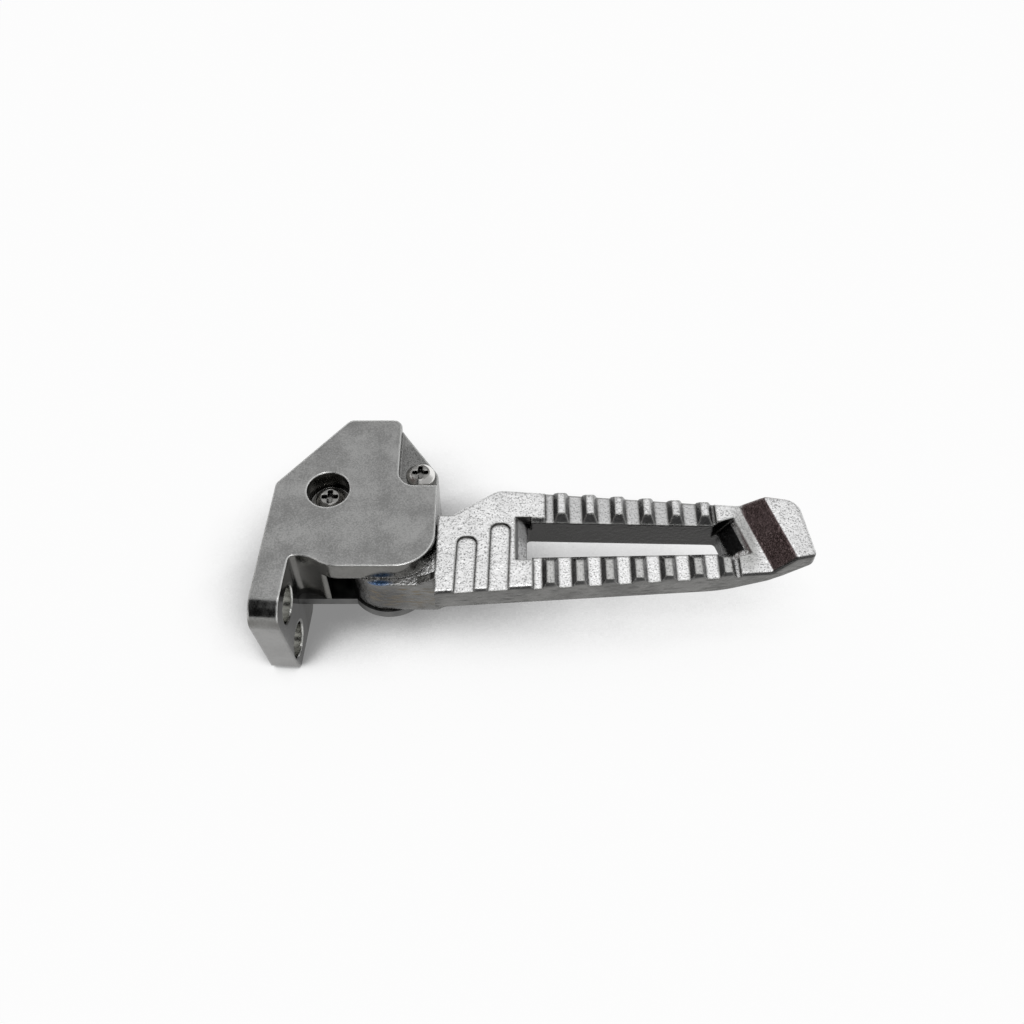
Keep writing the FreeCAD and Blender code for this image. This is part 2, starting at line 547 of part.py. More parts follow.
def make_peg():
    body = new_body("footpeg")
    side = new_sketch(body, "side_profile", "XZ_Plane", turn="skew")
    crest = f"{PEG_TOP} + tip_rise"
    lip = f"{crest} - lip_thickness"
    add_loop(side, [(on_middle(u), z) for u, z in [
        ("0", PEG_TOP),
        ("tip_ramp", PEG_TOP),
        ("tip_crest", crest),
        ("tip_front_at + peg_edge", crest),
        ("tip_front_at + peg_edge", lip),
        ("tip_front_at", lip),
        ("keel_middle", f"{PEG_EDGE} + keel_middle_rise"),
        ("keel_start", PEG_EDGE),
        ("0", PEG_EDGE),
    ]])
    blank = feature(body, "Pad", "blank", side, "3 * tip_front_at")
    blank.Midplane = True
    settle(blank)
    dress(body, "Fillet", "ramp_edges", corner_edges(body, side, [1, 2]), "ramp_round")
    dress(body, "Fillet", "keel_edges", corner_edges(body, side, [6, 7]), "keel_round")

    plan = new_sketch(body, "plan", "XY_Plane", f"{crest} + tip_rise")
    add_loop(plan, [
        (SHOULDER, "root_front"),
        ("end_at", "end_front"),
        ("tip_front_at", "tip_front"),
        ("tip_rear_at", "tip_rear"),
        ("end_at", "end_rear"),
        ("widest_at", "widest_rear"),
        (f"{SHOULDER} + root_flare", "root_rear"),
        (SHOULDER, "root_rear"),
    ])
    add_loop(plan, [(f"{x}4 * tip_front_at", f"{y}4 * tip_front_at")
                    for x, y in (("-", "-"), ("", "-"), ("", ""), ("-", ""))])
    feature(body, "Pocket", "trim", plan, "peg_edge + 3 * tip_rise")
    dress(body, "Fillet", "tip_corner", corner_edges(body, plan, [3]), "tip_round")
    dress(body, "Fillet", "nose_corner", corner_edges(body, plan, [2]), "nose_round")
    dress(body, "Fillet", "side_corners", corner_edges(body, plan, [1, 4, 5]), "side_sweep")

    belly = new_sketch(body, "belly_plan", "XY_Plane", PEG_EDGE)
    add_loop(belly, [
        (SHOULDER, "root_front + edge_round"),
        ("keel_start", "end_front"),
        ("keel_start", "end_rear"),
        ("widest_at", "widest_rear - edge_round"),
        (f"{SHOULDER} + root_flare", "root_rear - edge_round"),
        (SHOULDER, "root_rear - edge_round"),
    ])
    feature(body, "Pad", "belly", belly, "peg_belly", reverse=True, taper="-belly_slope")

    slot = cut_slot(body)
    dress(body, "Fillet", "upper_edges", side_edges(body, plan, [0, 4, 5], STANDING_LEVEL), "edge_round")
    add_rail(body, "front", ("root_front", "end_front", SHOULDER), "-1")
    add_rail(body, "rear", ("widest_rear", "end_rear", "widest_at"), "1")
    feature(body, "Pocket", "ridge_trim", plan, "peg_edge + 3 * tip_rise")
    flare_slot(body, slot)

    tongue = new_sketch(body, "tongue_side", "XZ_Plane", "-(pivot_y + tongue_rear)")
    add_loop(tongue, [
        ("pivot_x", HUB_FLOOR),
        (SHOULDER, HUB_FLOOR),
        (f"{SHOULDER} + hub_reach", PEG_EDGE),
        (f"{SHOULDER} + hub_reach", HUB_TOP),
        ("pivot_x", HUB_TOP),
    ])
    feature(body, "Pad", "tongue", tongue, "tongue_rear + hub_radius")
    disc = new_sketch(body, "hub_sketch", "XY_Plane", HUB_FLOOR)
    add_circle(disc, PIVOT, "2 * hub_radius")
    feature(body, "Pad", "hub", disc, "slot_height - 2 * hub_gap")
    # The ramp starts where the folded peg leaves the top plate's front edge.
    ramp = new_sketch(body, "ramp_side", "XZ_Plane", "hub_radius - pivot_y - ramp_width")
    add_loop(ramp, [
        ("pivot_x + pivot_y - housing_front", HUB_TOP),
        (f"{SHOULDER} + hub_reach", HUB_TOP),
        (f"{SHOULDER} + hub_reach", PEG_TOP),
        (SHOULDER, PEG_TOP),
    ])
    feature(body, "Pad", "root_ramp", ramp, "ramp_width")
    hole(body, "bush_bore", PIVOT, HUB_TOP, "bush_width", "slot_height")
    seat = "(hub_radius + plunger_gap - detent_depth + plunger_width / 2)"
    notch = "plunger_width + 2 * detent_clearance"
    hole(body, "riding_notch", ("pivot_x", f"pivot_y + {seat}"), HUB_TOP, notch, "slot_height")
    hole(body, "folded_notch", (f"pivot_x - {seat}", "pivot_y"), HUB_TOP, notch, "slot_height")

    for name in ("short_recess", "long_recess"):
        cut_recess(body, name)
    return body


SLOT_OUTLINE = [
    ("slot_left", "slot_front_left"),
    (skewed("slot_right", "slot_front_right"), "slot_front_right"),
    (skewed("slot_right", "slot_rear_right"), "slot_rear_right"),
    ("slot_left", "slot_rear_left"),
]


def cut_slot(body):
    """The through slot, with a boss that carries its right end's wall down."""
    boss = new_sketch(body, "boss_plan", "XY_Plane", PEG_EDGE)
    front = "slot_front_right - boss_wall"
    rear = "slot_rear_right + boss_wall"
    add_loop(boss, [
        ("keel_start - boss_wall", front),
        (skewed("slot_right + boss_wall", front), front),
        (skewed("slot_right + boss_wall", rear), rear),
        ("keel_start - boss_wall", rear),
    ])
    feature(body, "Pad", "boss_root", boss, "keel_middle_rise")
    feature(body, "Pad", "boss", boss, "peg_belly", reverse=True, taper="-boss_draft")
    plan = new_sketch(body, "slot_plan", "XY_Plane", f"{RAIL} + ridge_height")
    add_loop(plan, SLOT_OUTLINE)
    feature(body, "Pocket", "slot", plan, "ridge_height + peg_edge + 2 * peg_belly")
    dress(body, "Fillet", "slot_corners", corner_edges(body, plan, [0, 1, 2, 3]), "slot_round")
    return plan


def flare_slot(body, plan):
    """Ends the ridges at the slot, widens it above the rails and bevels its two ends."""
    feature(body, "Pocket", "ridge_ends", plan, "ridge_height + ridge_overrun")
    flare = new_sketch(body, "flare_plan", "XY_Plane", RAIL)
    add_loop(flare, SLOT_OUTLINE)
    feature(body, "Pocket", "flare", flare, "2 * ridge_height", reverse=True, taper="slot_flare")
    side = "rail_sink * tan(slot_flare)"
    left = new_sketch(body, "left_bevel_side", "XZ_Plane", f"{side} - slot_front_left")
    add_loop(left, [
        ("slot_left - left_bevel", PEG_TOP),
        ("slot_left + slot_round", PEG_TOP),
        ("slot_left + slot_round", f"{PEG_TOP} - left_bevel - slot_round"),
    ])
    feature(body, "Pocket", "left_bevel", left, f"slot_rear_left - slot_front_left + 2 * {side}")
    right = new_sketch(body, "right_bevel_side", "XZ_Plane",
                       f"slot_right * sin(skew) - slot_rear_right * cos(skew) - {side}", turn="skew")
    add_loop(right, [(on_middle(u), z) for u, z in [
        ("slot_right + right_bevel + ridge_height", f"{PEG_TOP} + ridge_height"),
        ("slot_right - slot_round", f"{PEG_TOP} + ridge_height"),
        ("slot_right - slot_round", f"{PEG_TOP} - right_bevel - slot_round"),
    ]])
    feature(body, "Pocket", "right_bevel", right,
            f"(slot_rear_right - slot_front_right) / cos(skew) + 2 * {side}", reverse=True)


def add_rail(body, name, edge, outward):
    """Lowers one rail beside the slot and sets a row of crosswise ridges on it, along the peg's side."""
    start, stop, start_at = edge
    slope = f"(({stop}) - ({start})) / (end_at - {start_at})"
    rail = new_sketch(body, f"{name}_rail_plan", "XY_Plane", PEG_TOP)
    add_loop(rail, [
        (f"{name}_rail_left", "center_line"),
        (f"{name}_rail_right", "center_line"),
        (f"{name}_rail_right", f"center_line + {outward} * widest_rear"),
        (f"{name}_rail_left", f"center_line + {outward} * widest_rear"),
    ])
    feature(body, "Pocket", f"{name}_rail", rail, "rail_sink")
    first = f"{name}_ridge"
    half = "(ridge_width / 2 + ridge_height * tan(ridge_slope))"
    outside = f"{start} + ({first} - {start_at}) * {slope} + {outward} * ridge_overrun"
    foot = new_sketch(body, f"{name}_ridge_foot", "XY_Plane", RAIL)
    add_loop(foot, [
        (f"{first} - {half}", "center_line"),
        (f"{first} + {half}", "center_line"),
        (f"{first} + {half}", outside),
        (f"{first} - {half}", outside),
    ])
    course = foot.addGeometry(Part.LineSegment(FreeCAD.Vector(), FreeCAD.Vector(1, 1)), True)
    place(foot, course, 1, (first, outside))
    place(foot, course, 2, (f"{first} + ridge_pitch", f"{outside} + ridge_pitch * {slope}"))
    ridge = feature(body, "Pad", f"{name}_ridge", foot, "ridge_height", taper="-ridge_slope")
    pattern(body, ridge, f"{name}_ridges", foot, f"ridge_pitch * sqrt(1 + ({slope})^2)", f"{name}_ridges")


def cut_recess(body, name):
    """A shallow recess from the front edge into the standing surface, with a rounded end."""
    left = f"{name}_left"
    end = f"{name}_end"
    front = "root_front - root_rear"
    plan = new_sketch(body, f"{name}_plan", "XY_Plane", PEG_TOP)
    add_loop(plan, [
        (left, front),
        (f"{left} + recess_open", front),
        (f"{left} + recess_open + recess_lean", end),
        (f"{left} + recess_lean", end),
    ])
    feature(body, "Pocket", name, plan, "recess_sink")
    dress(body, "Fillet", f"{name}_end_round", corner_edges(body, plan, [2, 3]), "recess_round")


WASHER_SEAT = "(top_level - pocket_depth)"

PIECES = [
    make_housing(),
    make_lower_plate(),
    cylinder("pivot_pin", PIVOT, BOTTOM, "pin_width", f"{SLOT_TOP} + pin_seat - {BOTTOM}"),
    make_screw("pocket_screw", POCKET, f"({WASHER_SEAT} + washer_thickness)"),
    ring("pocket_washer", POCKET, WASHER_SEAT, "washer_width", "washer_bore", "washer_thickness"),
    make_screw("corner_screw", CORNER, "(top_level - step_depth)"),
    make_spring(),
    make_plunger(),
    make_peg(),
    *[ring(label, PIVOT, floor, "bush_width", "pin_width + 2 * bush_clearance", "bush_length")
      for label, floor in (("upper_bush", f"{HUB_TOP} - bush_length"), ("lower_bush", HUB_FLOOR))],
]
doc.recompute()

for item in doc.Objects:
    if "Invalid" in item.State or "Error" in item.State:
        raise RuntimeError(f"{item.Label} failed: {item.State}")
os.makedirs("parts", exist_ok=True)
for piece in PIECES:
    if piece.Shape.isNull() or not piece.Shape.isValid():
        raise RuntimeError(f"{piece.Label} has no sound shape")
for piece in PIECES:
    piece.Shape.exportStep(f"parts/{piece.Label}.step")
    print(piece.Label, round(piece.Shape.Volume, 1), len(piece.Shape.Solids), piece.Shape.BoundBox)
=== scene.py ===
import math

import bpy
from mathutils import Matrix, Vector


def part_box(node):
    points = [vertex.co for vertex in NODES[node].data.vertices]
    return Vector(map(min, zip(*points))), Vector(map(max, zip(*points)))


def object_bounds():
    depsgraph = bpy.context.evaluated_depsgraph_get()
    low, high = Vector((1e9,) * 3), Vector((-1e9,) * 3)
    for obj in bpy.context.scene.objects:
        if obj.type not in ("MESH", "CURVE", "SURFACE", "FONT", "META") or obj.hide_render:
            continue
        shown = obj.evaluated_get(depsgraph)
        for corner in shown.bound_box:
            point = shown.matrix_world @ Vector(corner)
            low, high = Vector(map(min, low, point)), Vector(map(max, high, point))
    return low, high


# A folding passenger footpeg on a white floor, seen from above its front side. Lengths are in metres, and
# places on the part are written in millimetres.

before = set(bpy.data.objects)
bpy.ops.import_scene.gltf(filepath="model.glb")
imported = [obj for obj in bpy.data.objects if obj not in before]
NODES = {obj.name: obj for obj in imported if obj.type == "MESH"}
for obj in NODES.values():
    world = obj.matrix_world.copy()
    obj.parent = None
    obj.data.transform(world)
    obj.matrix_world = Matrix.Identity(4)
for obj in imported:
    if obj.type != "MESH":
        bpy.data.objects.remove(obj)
CAD_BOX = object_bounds()
MM = 0.001


def spot(x, y, z):
    """A place on the part, or a reach along each axis, from millimetres."""
    return (x * MM, y * MM, z * MM)


def grey(level):
    return (level, level, level)


UP = (0.0, 0.0, 1.0)
LEFT = (-1.0, 0.0, 0.0)
RIGHT = (1.0, 0.0, 0.0)
FRONT = (0.0, -1.0, 0.0)
WHITE = grey(1.0)
EDGE_RADIUS = 0.9 * MM

# Where most values of a noise lie, and those of the sum of two.
NOISE_SPAN = (0.3, 0.7)
NOISE_SUM_SPAN = (0.7, 1.3)


class Nodes:
    """A node tree, built node by node."""

    def __init__(self, tree):
        self.tree = tree

    def add(self, kind, inputs=None, **settings):
        """A node with its settings, and its inputs set to values or linked to sockets."""
        made = self.tree.nodes.new(f"ShaderNode{kind}")
        for key, value in settings.items():
            setattr(made, key, value)
        for socket, value in (inputs or {}).items():
            self.feed(made.inputs[socket], value)
        return made

    def feed(self, socket, value):
        """Links an input to a socket, or sets its value."""
        if isinstance(value, bpy.types.NodeSocket):
            self.tree.links.new(value, socket)
        elif socket.type == "RGBA" and len(value) == 3:
            socket.default_value = (*value, 1.0)
        else:
            socket.default_value = value

    def calculate(self, operation, first, second):
        return self.add("Math", {0: first, 1: second}, operation=operation).outputs[0]

    def all_of(self, first, *others):
        """1 only where all of the values are 1."""
        product = first
        for value in others:
            product = self.calculate("MULTIPLY", product, value)
        return product

    def any_of(self, first, *others):
        """1 where one of the values is 1."""
        largest = first
        for value in others:
            largest = self.calculate("MAXIMUM", largest, value)
        return largest

    def facing(self, normal, direction):
        """1 where two unit vectors are the same, 0 where they are square to each other."""
        return self.add("VectorMath", {0: normal, 1: direction}, operation="DOT_PRODUCT").outputs["Value"]

    def spread(self, value, low, high, to_low=0.0, to_high=1.0):
        """A value from low to high, eased to a new range. It falls where low is above high."""
        return self.add("MapRange", {"Value": value, "From Min": low, "From Max": high,
                                     "To Min": to_low, "To Max": to_high},
                        interpolation_type="SMOOTHSTEP").outputs[0]

    def blend(self, factor, first, second):
        """A colour between two colours."""
        mix = self.add("Mix", data_type="RGBA")
        for index, value in ((0, factor), (6, first), (7, second)):
            self.feed(mix.inputs[index], value)
        return mix.outputs[2]

    def between(self, factor, first, second):
        """A value between two values."""
        mix = self.add("Mix", data_type="FLOAT")
        for index, value in ((0, factor), (2, first), (3, second)):
            self.feed(mix.inputs[index], value)
        return mix.outputs[0]


class Finish(Nodes):
    """A surface finish around one Principled shader. Patterns follow the part's own axes."""

    def __init__(self, name, metallic=1.0):
        self.material = bpy.data.materials.new(name)
        self.material.use_nodes = True
        super().__init__(self.material.node_tree)
        self.shader = self.tree.nodes["Principled BSDF"]
        self.shader.inputs["Metallic"].default_value = metallic
        self.place = self.add("TexCoord").outputs["Object"]

    def noise(self, feature, detail=3.0, stretch=(1.0, 1.0, 1.0)):
        """Soft random values, 0 to 1, in spots of about the feature's size."""
        place = self.add("Mapping", {"Vector": self.place, "Scale": stretch}).outputs[0]
        return self.add("TexNoise", {"Vector": place, "Scale": 1.0 / feature,
                                     "Detail": detail}).outputs["Fac"]

    def bump(self, height, depth, below=None, strength=1.0):
        """A normal that follows a height, on top of another normal where one is given."""
        inputs = {"Height": height, "Distance": depth, "Strength": strength}
        if below is not None:
            inputs["Normal"] = below
        return self.add("Bump", inputs).outputs[0]

    def patch(self, area, core=0.3):
        """1 in the core of an area, falling to 0 at its reach along each axis."""
        middle, reach = area
        offset = self.add("VectorMath", {0: self.place, 1: middle}, operation="SUBTRACT").outputs[0]
        share = self.add("VectorMath", {0: offset, 1: reach}, operation="DIVIDE").outputs[0]
        length = self.add("VectorMath", {0: share}, operation="LENGTH").outputs["Value"]
        return self.spread(length, core, 1.0, 1.0, 0.0)

    def rounded(self, radius):
        """The normal with every edge rounded, and a value that is 1 on those edges."""
        soft = self.add("Bevel", {"Radius": radius}, samples=6).outputs[0]
        plain = self.add("NewGeometry").outputs["Normal"]
        return soft, self.spread(self.facing(soft, plain), 0.96, 0.998, 1.0, 0.0)

    def leaning(self, direction, low, high):
        """0 to 1 as the cosine between a face's own direction and the given one goes from low to high."""
        normal = self.add("TexCoord").outputs["Normal"]
        return self.spread(self.facing(normal, direction), low, high)

    def past(self, axis, span):
        """0 before a span along one axis, 1 past it. The span is in millimetres."""
        low, high = span
        place = self.add("SeparateXYZ", {0: self.place}).outputs[axis]
        return self.spread(place, low * MM, high * MM)

    def before(self, axis, span):
        """1 before a span along one axis, 0 past it."""
        low, high = span
        return self.past(axis, (high, low))

    def within(self, axis, span, fade):
        """1 within a span along one axis, fading outside it."""
        low, high = span
        return self.all_of(self.past(axis, (low - fade, low)), self.before(axis, (high, high + fade)))

    def corner_shade(self, reach, low, high):
        """1 deep in corners and recesses, 0 in the open: the mask where shade is painted."""
        open_share = self.add("AmbientOcclusion", {"Distance": reach}, only_local=True, samples=6)
        return self.spread(open_share.outputs["AO"], low, high, 1.0, 0.0)

    def finish(self, color, roughness, normal=None):
        """Feeds the shader and gives the material."""
        self.feed(self.shader.inputs["Base Color"], color)
        self.feed(self.shader.inputs["Roughness"], roughness)
        if normal is not None:
            self.feed(self.shader.inputs["Normal"], normal)
        return self.material


# Areas of the housing, each a middle and a reach along each axis.
SCREW_HEAD_HEIGHT = 2.6 * MM
SCREW_LOW, SCREW_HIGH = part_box("corner_screw")
SCREW_SEAT = ((SCREW_LOW[0] + SCREW_HIGH[0]) / 2, (SCREW_LOW[1] + SCREW_HIGH[1]) / 2,
              SCREW_HIGH[2] - SCREW_HEAD_HEIGHT)
STEP_FLOOR = (SCREW_SEAT, spot(14, 14, 2))
FLANGE_FRONT = (spot(4, -3, -6), spot(11, 14, 26))
BOLT_HOLES = [(spot(4, 0, height), spot(14, 5.9, 5.9)) for height in (9.25, -9.25)]

# Tones of the housing. Pairs are the two tones of a mottled face.
HOUSING_TOP = ((0.21, 0.21, 0.207), (0.36, 0.36, 0.355))
HOUSING_SIDE = ((0.12, 0.118, 0.112), (0.17, 0.167, 0.158))
FLANGE_SIDE = ((0.17, 0.168, 0.163), (0.23, 0.228, 0.222))
STEP_FLOOR_TONES = ((0.1, 0.1, 0.098), (0.24, 0.24, 0.236))
HOUSING_EDGE_HIGHLIGHT = (0.8, 0.8, 0.79)
HOUSING_CORNER_SHADE = (0.05, 0.048, 0.045)
BOLT_HOLE_WALL = (0.62, 0.62, 0.6)
HOUSING_ROUGHNESS = (0.12, 0.24)
FLANGE_ROUGHNESS = 0.1
FLANGE_RELIEF = 0.1


def tumbled_aluminium():
    """The machined housing: satin grey, darker on its sides as painted shade, with a painted highlight on
    its edges and painted shade in its corners, bright in the bolt holes.
    """
    made = Finish("tumbled_aluminium")
    mottle = made.noise(7 * MM, detail=6.0)
    grain = made.noise(0.35 * MM, detail=2.0)
    scuffs = made.noise(1.2 * MM, detail=2.0, stretch=(1.0, 0.12, 1.0))
    cloud = made.spread(made.calculate("ADD", mottle, grain), *NOISE_SUM_SPAN)
    soft, edges = made.rounded(EDGE_RADIUS)
    flange = made.patch(FLANGE_FRONT, core=0.8)

    # The step floor is darker than the top and grainy.
    step_floor_tone = made.blend(made.spread(grain, 0.35, 0.6), *STEP_FLOOR_TONES)
    top = made.blend(made.patch(STEP_FLOOR, core=0.8), made.blend(cloud, *HOUSING_TOP), step_floor_tone)
    side = made.blend(flange, made.blend(cloud, *HOUSING_SIDE), made.blend(cloud, *FLANGE_SIDE))
    # Painted shade: the sides, the flange's front among them, take darker tones than the top.
    tone = made.blend(made.leaning(UP, 0.25, 0.75), side, top)
    # A painted highlight, nearly white, along the housing's upward edges.
    tone = made.blend(made.all_of(edges, made.leaning(UP, 0.2, 0.7)), tone, HOUSING_EDGE_HIGHLIGHT)
    # Painted shade darkens the housing's corners and recesses.
    tone = made.blend(made.corner_shade(2.0 * MM, 0.35, 0.85), tone, HOUSING_CORNER_SHADE)
    for hole in BOLT_HOLES:
        tone = made.blend(made.patch(hole, core=0.92), tone, BOLT_HOLE_WALL)

    scuffing = made.calculate("ADD", mottle, scuffs)
    roughness = made.spread(scuffing, *NOISE_SUM_SPAN, *HOUSING_ROUGHNESS)
    roughness = made.between(flange, roughness, FLANGE_ROUGHNESS)
    relief = made.between(flange, 1.0, FLANGE_RELIEF)
    normal = made.bump(grain, 0.008 * MM, soft, relief)
    normal = made.bump(scuffs, 0.006 * MM, normal, relief)
    return made.finish(tone, roughness, normal)


# Areas of the peg, each a middle and a reach along each axis.
RAMP_FOOT = (spot(128.5, 16, 15.7), spot(5, 16, 2))
RAMP = (spot(134.2, 16, 18.2), spot(11, 17, 4.5))
SLOT_INNER_END = (spot(69, 16, 14), spot(3, 8, 3))
SLOT_OUTER_FACET = (spot(127, 11.5, 13), spot(3.5, 2.2, 4))
HUB_FRONT = (spot(31, 5, 6), spot(12, 8, 9))
HUB_STAIN = (spot(38, 3, 7), spot(16, 6, 7))
HUB_TRACE = (spot(32, 4.2, 12.5), spot(4.5, 1.2, 0.6))

# Spans of the peg along one axis, in millimetres.
FRONT_TO_REAR_Y = (14, 18)
RIDGES_END_X = (125, 127)
RAIL_TO_TOP_Z = (14.75, 14.95)
RAIL_TO_RIDGE_Z = (14.7, 15.0)
FLANK_TO_CROWN_Z = (15.9, 16.3)
SLOT_X = (70, 124)
SLOT_Y = (10, 23)
OUTER_BEVEL_X = (112, 134)
OUTER_BEVEL_Z = (4, 14.3)

# Tones of the peg. Pairs are the two tones of a mottled face, and for rails and crowns the tone of the front
# row and of the rear row.
PEG_TOP = (grey(0.84), WHITE)
RAILS = (WHITE, grey(0.66))
CROWNS = ((0.6, 0.6, 0.59), grey(0.85))
RAMP_FOOT_GREY = (0.5, 0.5, 0.49)
SPECK_GREY = grey(0.3)
RAMP_DARK_REFLECTION = ((0.2, 0.15, 0.15), (0.09, 0.065, 0.065))
PEG_SIDE = ((0.13, 0.129, 0.125), (0.2, 0.198, 0.192))
STREAK_GREY = (0.1, 0.099, 0.096)
SLOT_WALL_SHADE = (0.055, 0.054, 0.053)
HUB_GREY = (0.08, 0.079, 0.078)
RUST = (0.16, 0.125, 0.075)
RIDGE_FLANK_SHADES = ((LEFT, grey(0.1)), (RIGHT, grey(0.3)))
OUTER_BEVEL_REFLECTION = grey(0.02)
OUTER_FACET_HIGHLIGHT = grey(0.9)
FRONT_RIM_REFLECTION = grey(0.06)
EDGE_REFLECTION = (0.45, 0.45, 0.44)
PEG_CORNER_SHADE = (0.06, 0.058, 0.055)
BLUE_TRACE = (0.1, 0.2, 0.4)
PEG_ROUGHNESS = (0.2, 0.32)
SLOT_END_ROUGHNESS = 0.7


def peg_top(made, cloud, specks):
    """The peg's upper faces: bright with dark specks, rails and ridges in other greys, a painted dark brown
    reflection on the ramp.
    """
    patches = made.noise(2.5 * MM, detail=5.0)
    top = made.blend(made.spread(made.calculate("ADD", cloud, patches), 0.75, 1.25), *PEG_TOP)
    rear = made.past("Y", FRONT_TO_REAR_Y)
    # The front and rear rows of rails and crowns differ in tone as painted light and shade.
    top = made.blend(made.past("Z", RAIL_TO_TOP_Z), made.blend(rear, *RAILS), top)
    crowns = made.all_of(made.before("X", RIDGES_END_X), made.past("Z", FLANK_TO_CROWN_Z))
    top = made.blend(crowns, top, made.blend(rear, *CROWNS))
    top = made.blend(made.patch(RAMP_FOOT), top, RAMP_FOOT_GREY)
    top = made.blend(made.spread(specks, 0.5, 0.68), top, SPECK_GREY)
    # A painted dark brown reflection on the ramp, flecked by the specks.
    ramp = made.all_of(made.patch(RAMP, core=0.8), made.leaning(UP, 0.95, 0.86))
    return made.blend(ramp, top, made.blend(made.spread(specks, 0.4, 0.65), *RAMP_DARK_REFLECTION))


def peg_side(made, cloud):
    """The peg's upright faces: dull and streaked, with painted shade in the slot, dark on the hub, rusty
    beside it.
    """
    streaks = made.noise(1.2 * MM, stretch=(0.3, 1.0, 1.6))
    side = made.blend(made.spread(cloud, *NOISE_SPAN), *PEG_SIDE)
    side = made.blend(made.spread(streaks, 0.5, 0.7), side, STREAK_GREY)
    # Painted shade darkens the walls inside the slot.
    slot = made.all_of(made.within("X", SLOT_X, fade=5), made.within("Y", SLOT_Y, fade=1))
    side = made.blend(slot, side, SLOT_WALL_SHADE)
    side = made.blend(made.patch(HUB_FRONT), side, HUB_GREY)
    stain = made.all_of(made.patch(HUB_STAIN), made.spread(streaks, 0.45, 0.75))
    return made.blend(stain, side, RUST)


def cast_aluminium():
    """The peg: bright and peened on top, dull and stained on its sides and darker there as painted shade,
    with a painted grey reflection along its upper edges.
    """
    made = Finish("cast_aluminium")
    peen = made.noise(1.0 * MM, detail=2.0)
    specks = made.noise(0.42 * MM)
    cloud = made.noise(6 * MM, detail=4.0)
    soft, edges = made.rounded(EDGE_RADIUS)

    upward = made.leaning(UP, 0.3, 0.8)
    # Painted shade: the upright faces take much darker tones than the upper ones.
    tone = made.blend(upward, peg_side(made, cloud), peg_top(made, cloud, specks))
    # Painted shade darkens the ridges' flanks, the left ones most.
    ridges = made.all_of(made.before("X", RIDGES_END_X), made.past("Z", RAIL_TO_RIDGE_Z))
    for direction, shade in RIDGE_FLANK_SHADES:
        tone = made.blend(made.all_of(ridges, made.leaning(direction, 0.3, 0.6)), tone, shade)
    # A painted dark reflection on the left-facing bevel at the slot's outer end.
    bevel = made.all_of(made.leaning(LEFT, 0.25, 0.4), made.leaning(UP, 0.25, 0.4),
                        made.within("X", OUTER_BEVEL_X, fade=2), made.within("Z", OUTER_BEVEL_Z, fade=0.3))
    tone = made.blend(bevel, tone, OUTER_BEVEL_REFLECTION)
    # A painted highlight on a small facet at the slot's outer end.
    tone = made.blend(made.patch(SLOT_OUTER_FACET, core=0.7), tone, OUTER_FACET_HIGHLIGHT)
    # A painted dark reflection on faces leaning to the front and up.
    rim = made.all_of(made.leaning(FRONT, 0.3, 0.55), made.leaning(UP, 0.25, 0.45))
    tone = made.blend(rim, tone, FRONT_RIM_REFLECTION)
    # A painted grey reflection along the rounded upper edges.
    tone = made.blend(made.all_of(edges, upward), tone, EDGE_REFLECTION)
    # Painted shade darkens the peg's corners and recesses.
    tone = made.blend(made.corner_shade(1.2 * MM, 0.5, 0.97), tone, PEG_CORNER_SHADE)
    tone = made.blend(made.patch(HUB_TRACE), tone, BLUE_TRACE)

    roughness = made.spread(cloud, *NOISE_SPAN, *PEG_ROUGHNESS)
    roughness = made.between(made.patch(SLOT_INNER_END, core=0.8), roughness, SLOT_END_ROUGHNESS)
    normal = made.bump(specks, 0.03 * MM, made.bump(peen, 0.2 * MM, soft))
    return made.finish(tone, roughness, normal)


# Tones and roughness of the small metal pieces.
STEEL_TOP = ((0.2, 0.197, 0.19), (0.32, 0.316, 0.306))
STEEL_SLOPE_HIGHLIGHT = (0.85, 0.84, 0.82)
STEEL_CORNER_SHADE = grey(0.015)
STEEL_ROUGHNESS = (0.18, 0.28)
PLATE = (grey(0.09), (0.15, 0.15, 0.147))
PLATE_ROUGHNESS = (0.35, 0.5)
BRONZE = ((0.42, 0.3, 0.16), (0.6, 0.46, 0.27))
BRONZE_ROUGHNESS = (0.3, 0.45)


def bright_steel():
    """Screws and other small steel pieces: dull on top, with a painted highlight where they slope and
    painted black shade in their recesses.
    """
    made = Finish("bright_steel")
    cloud = made.noise(1.5 * MM)
    grain = made.noise(0.2 * MM)
    dull = made.blend(made.spread(cloud, *NOISE_SPAN), *STEEL_TOP)
    # A painted highlight on the sloping faces of the heads.
    tone = made.blend(made.leaning(UP, 0.92, 0.75), dull, STEEL_SLOPE_HIGHLIGHT)
    # Painted black shade in the recesses.
    tone = made.blend(made.corner_shade(1.6 * MM, 0.45, 0.85), tone, STEEL_CORNER_SHADE)
    roughness = made.spread(cloud, *NOISE_SPAN, *STEEL_ROUGHNESS)
    return made.finish(tone, roughness, made.bump(grain, 0.004 * MM))


def plate_steel():
    """The lower plate: dark and dull, its dark tone partly its own finish and partly painted shade."""
    made = Finish("plate_steel")
    cloud = made.noise(4 * MM, detail=5.0)
    grain = made.noise(0.4 * MM)
    tone = made.blend(made.spread(cloud, *NOISE_SPAN), *PLATE)
    roughness = made.spread(cloud, *NOISE_SPAN, *PLATE_ROUGHNESS)
    return made.finish(tone, roughness, made.bump(grain, 0.015 * MM))


def bronze():
    """The bushes."""
    made = Finish("bronze")
    cloud = made.noise(2 * MM, detail=4.0)
    tone = made.blend(cloud, *BRONZE)
    roughness = made.spread(cloud, *NOISE_SPAN, *BRONZE_ROUGHNESS)
    return made.finish(tone, roughness, made.bump(cloud, 0.01 * MM))


def dress(material, *names):
    """Gives nodes a material."""
    for name in names:
        slots = NODES[name].data.materials
        slots.clear()
        slots.append(material)


